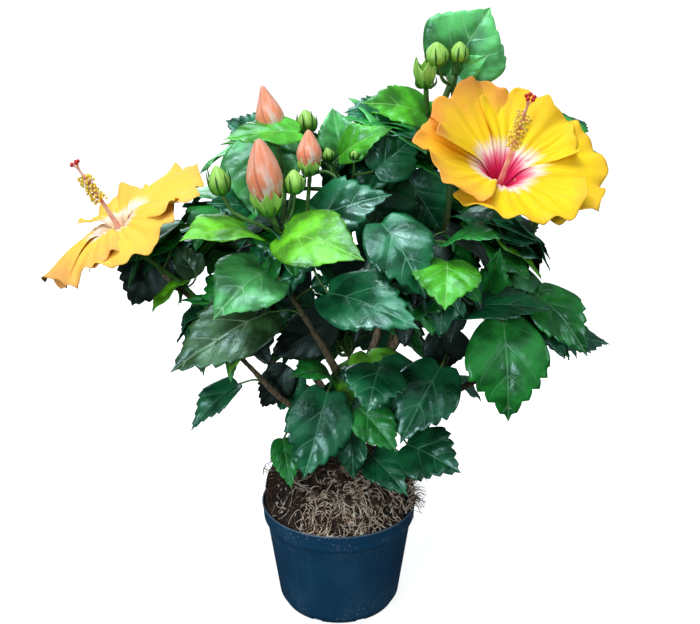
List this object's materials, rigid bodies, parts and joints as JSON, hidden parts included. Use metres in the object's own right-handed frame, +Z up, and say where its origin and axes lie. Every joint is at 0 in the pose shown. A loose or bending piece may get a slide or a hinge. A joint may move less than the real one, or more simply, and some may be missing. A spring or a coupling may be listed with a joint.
{
  "type": "potted hibiscus shrub",
  "caption": "Bushy hibiscus shrub with glossy toothed leaves, salmon buds and broad yellow blooms with a pink throat, growing from a round tapered nursery pot.",
  "frame": {"origin": "centre of the pot's flat underside, where the shrub stands", "axes": "+Z up, +X to the right and -Y to the front, seen from the shrub's front"},
  "size_m": [0.5162, 0.3357, 0.5739],
  "materials": {
    "pot": "satin",
    "potting_mix": "matt, damp",
    "bark": "matt",
    "foliage": "glossy leaf",
    "petals": "soft satin"
  },
  "bodies": {
    "root": {"pot": "pot", "potting_mix": "potting_mix", "trunk": "bark", "bough_front_left": "bark", "bough_centre": "bark", "bough_tall": "bark", "bough_left": "bark", "bough_right": "bark", "bough_right_low": "bark", "bough_left_low": "bark", "bough_back_left": "bark", "bough_back_right": "bark", "bough_back_low": "bark", "bloom_right": "petals", "bloom_left": "petals", "foliage_top_spray": "foliage", "foliage_bud_spray": "foliage", "foliage_front_left": "foliage", "foliage_front_centre": "foliage", "foliage_low_front": "foliage", "foliage_left": "foliage", "foliage_far_left": "foliage", "foliage_upper_left": "foliage", "foliage_upper_middle": "foliage", "foliage_right": "foliage", "foliage_right_low": "foliage", "foliage_back_left": "foliage", "foliage_back_right": "foliage", "foliage_back_spray": "foliage", "foliage_back_low": "foliage"}
  },
  "joints": []
}
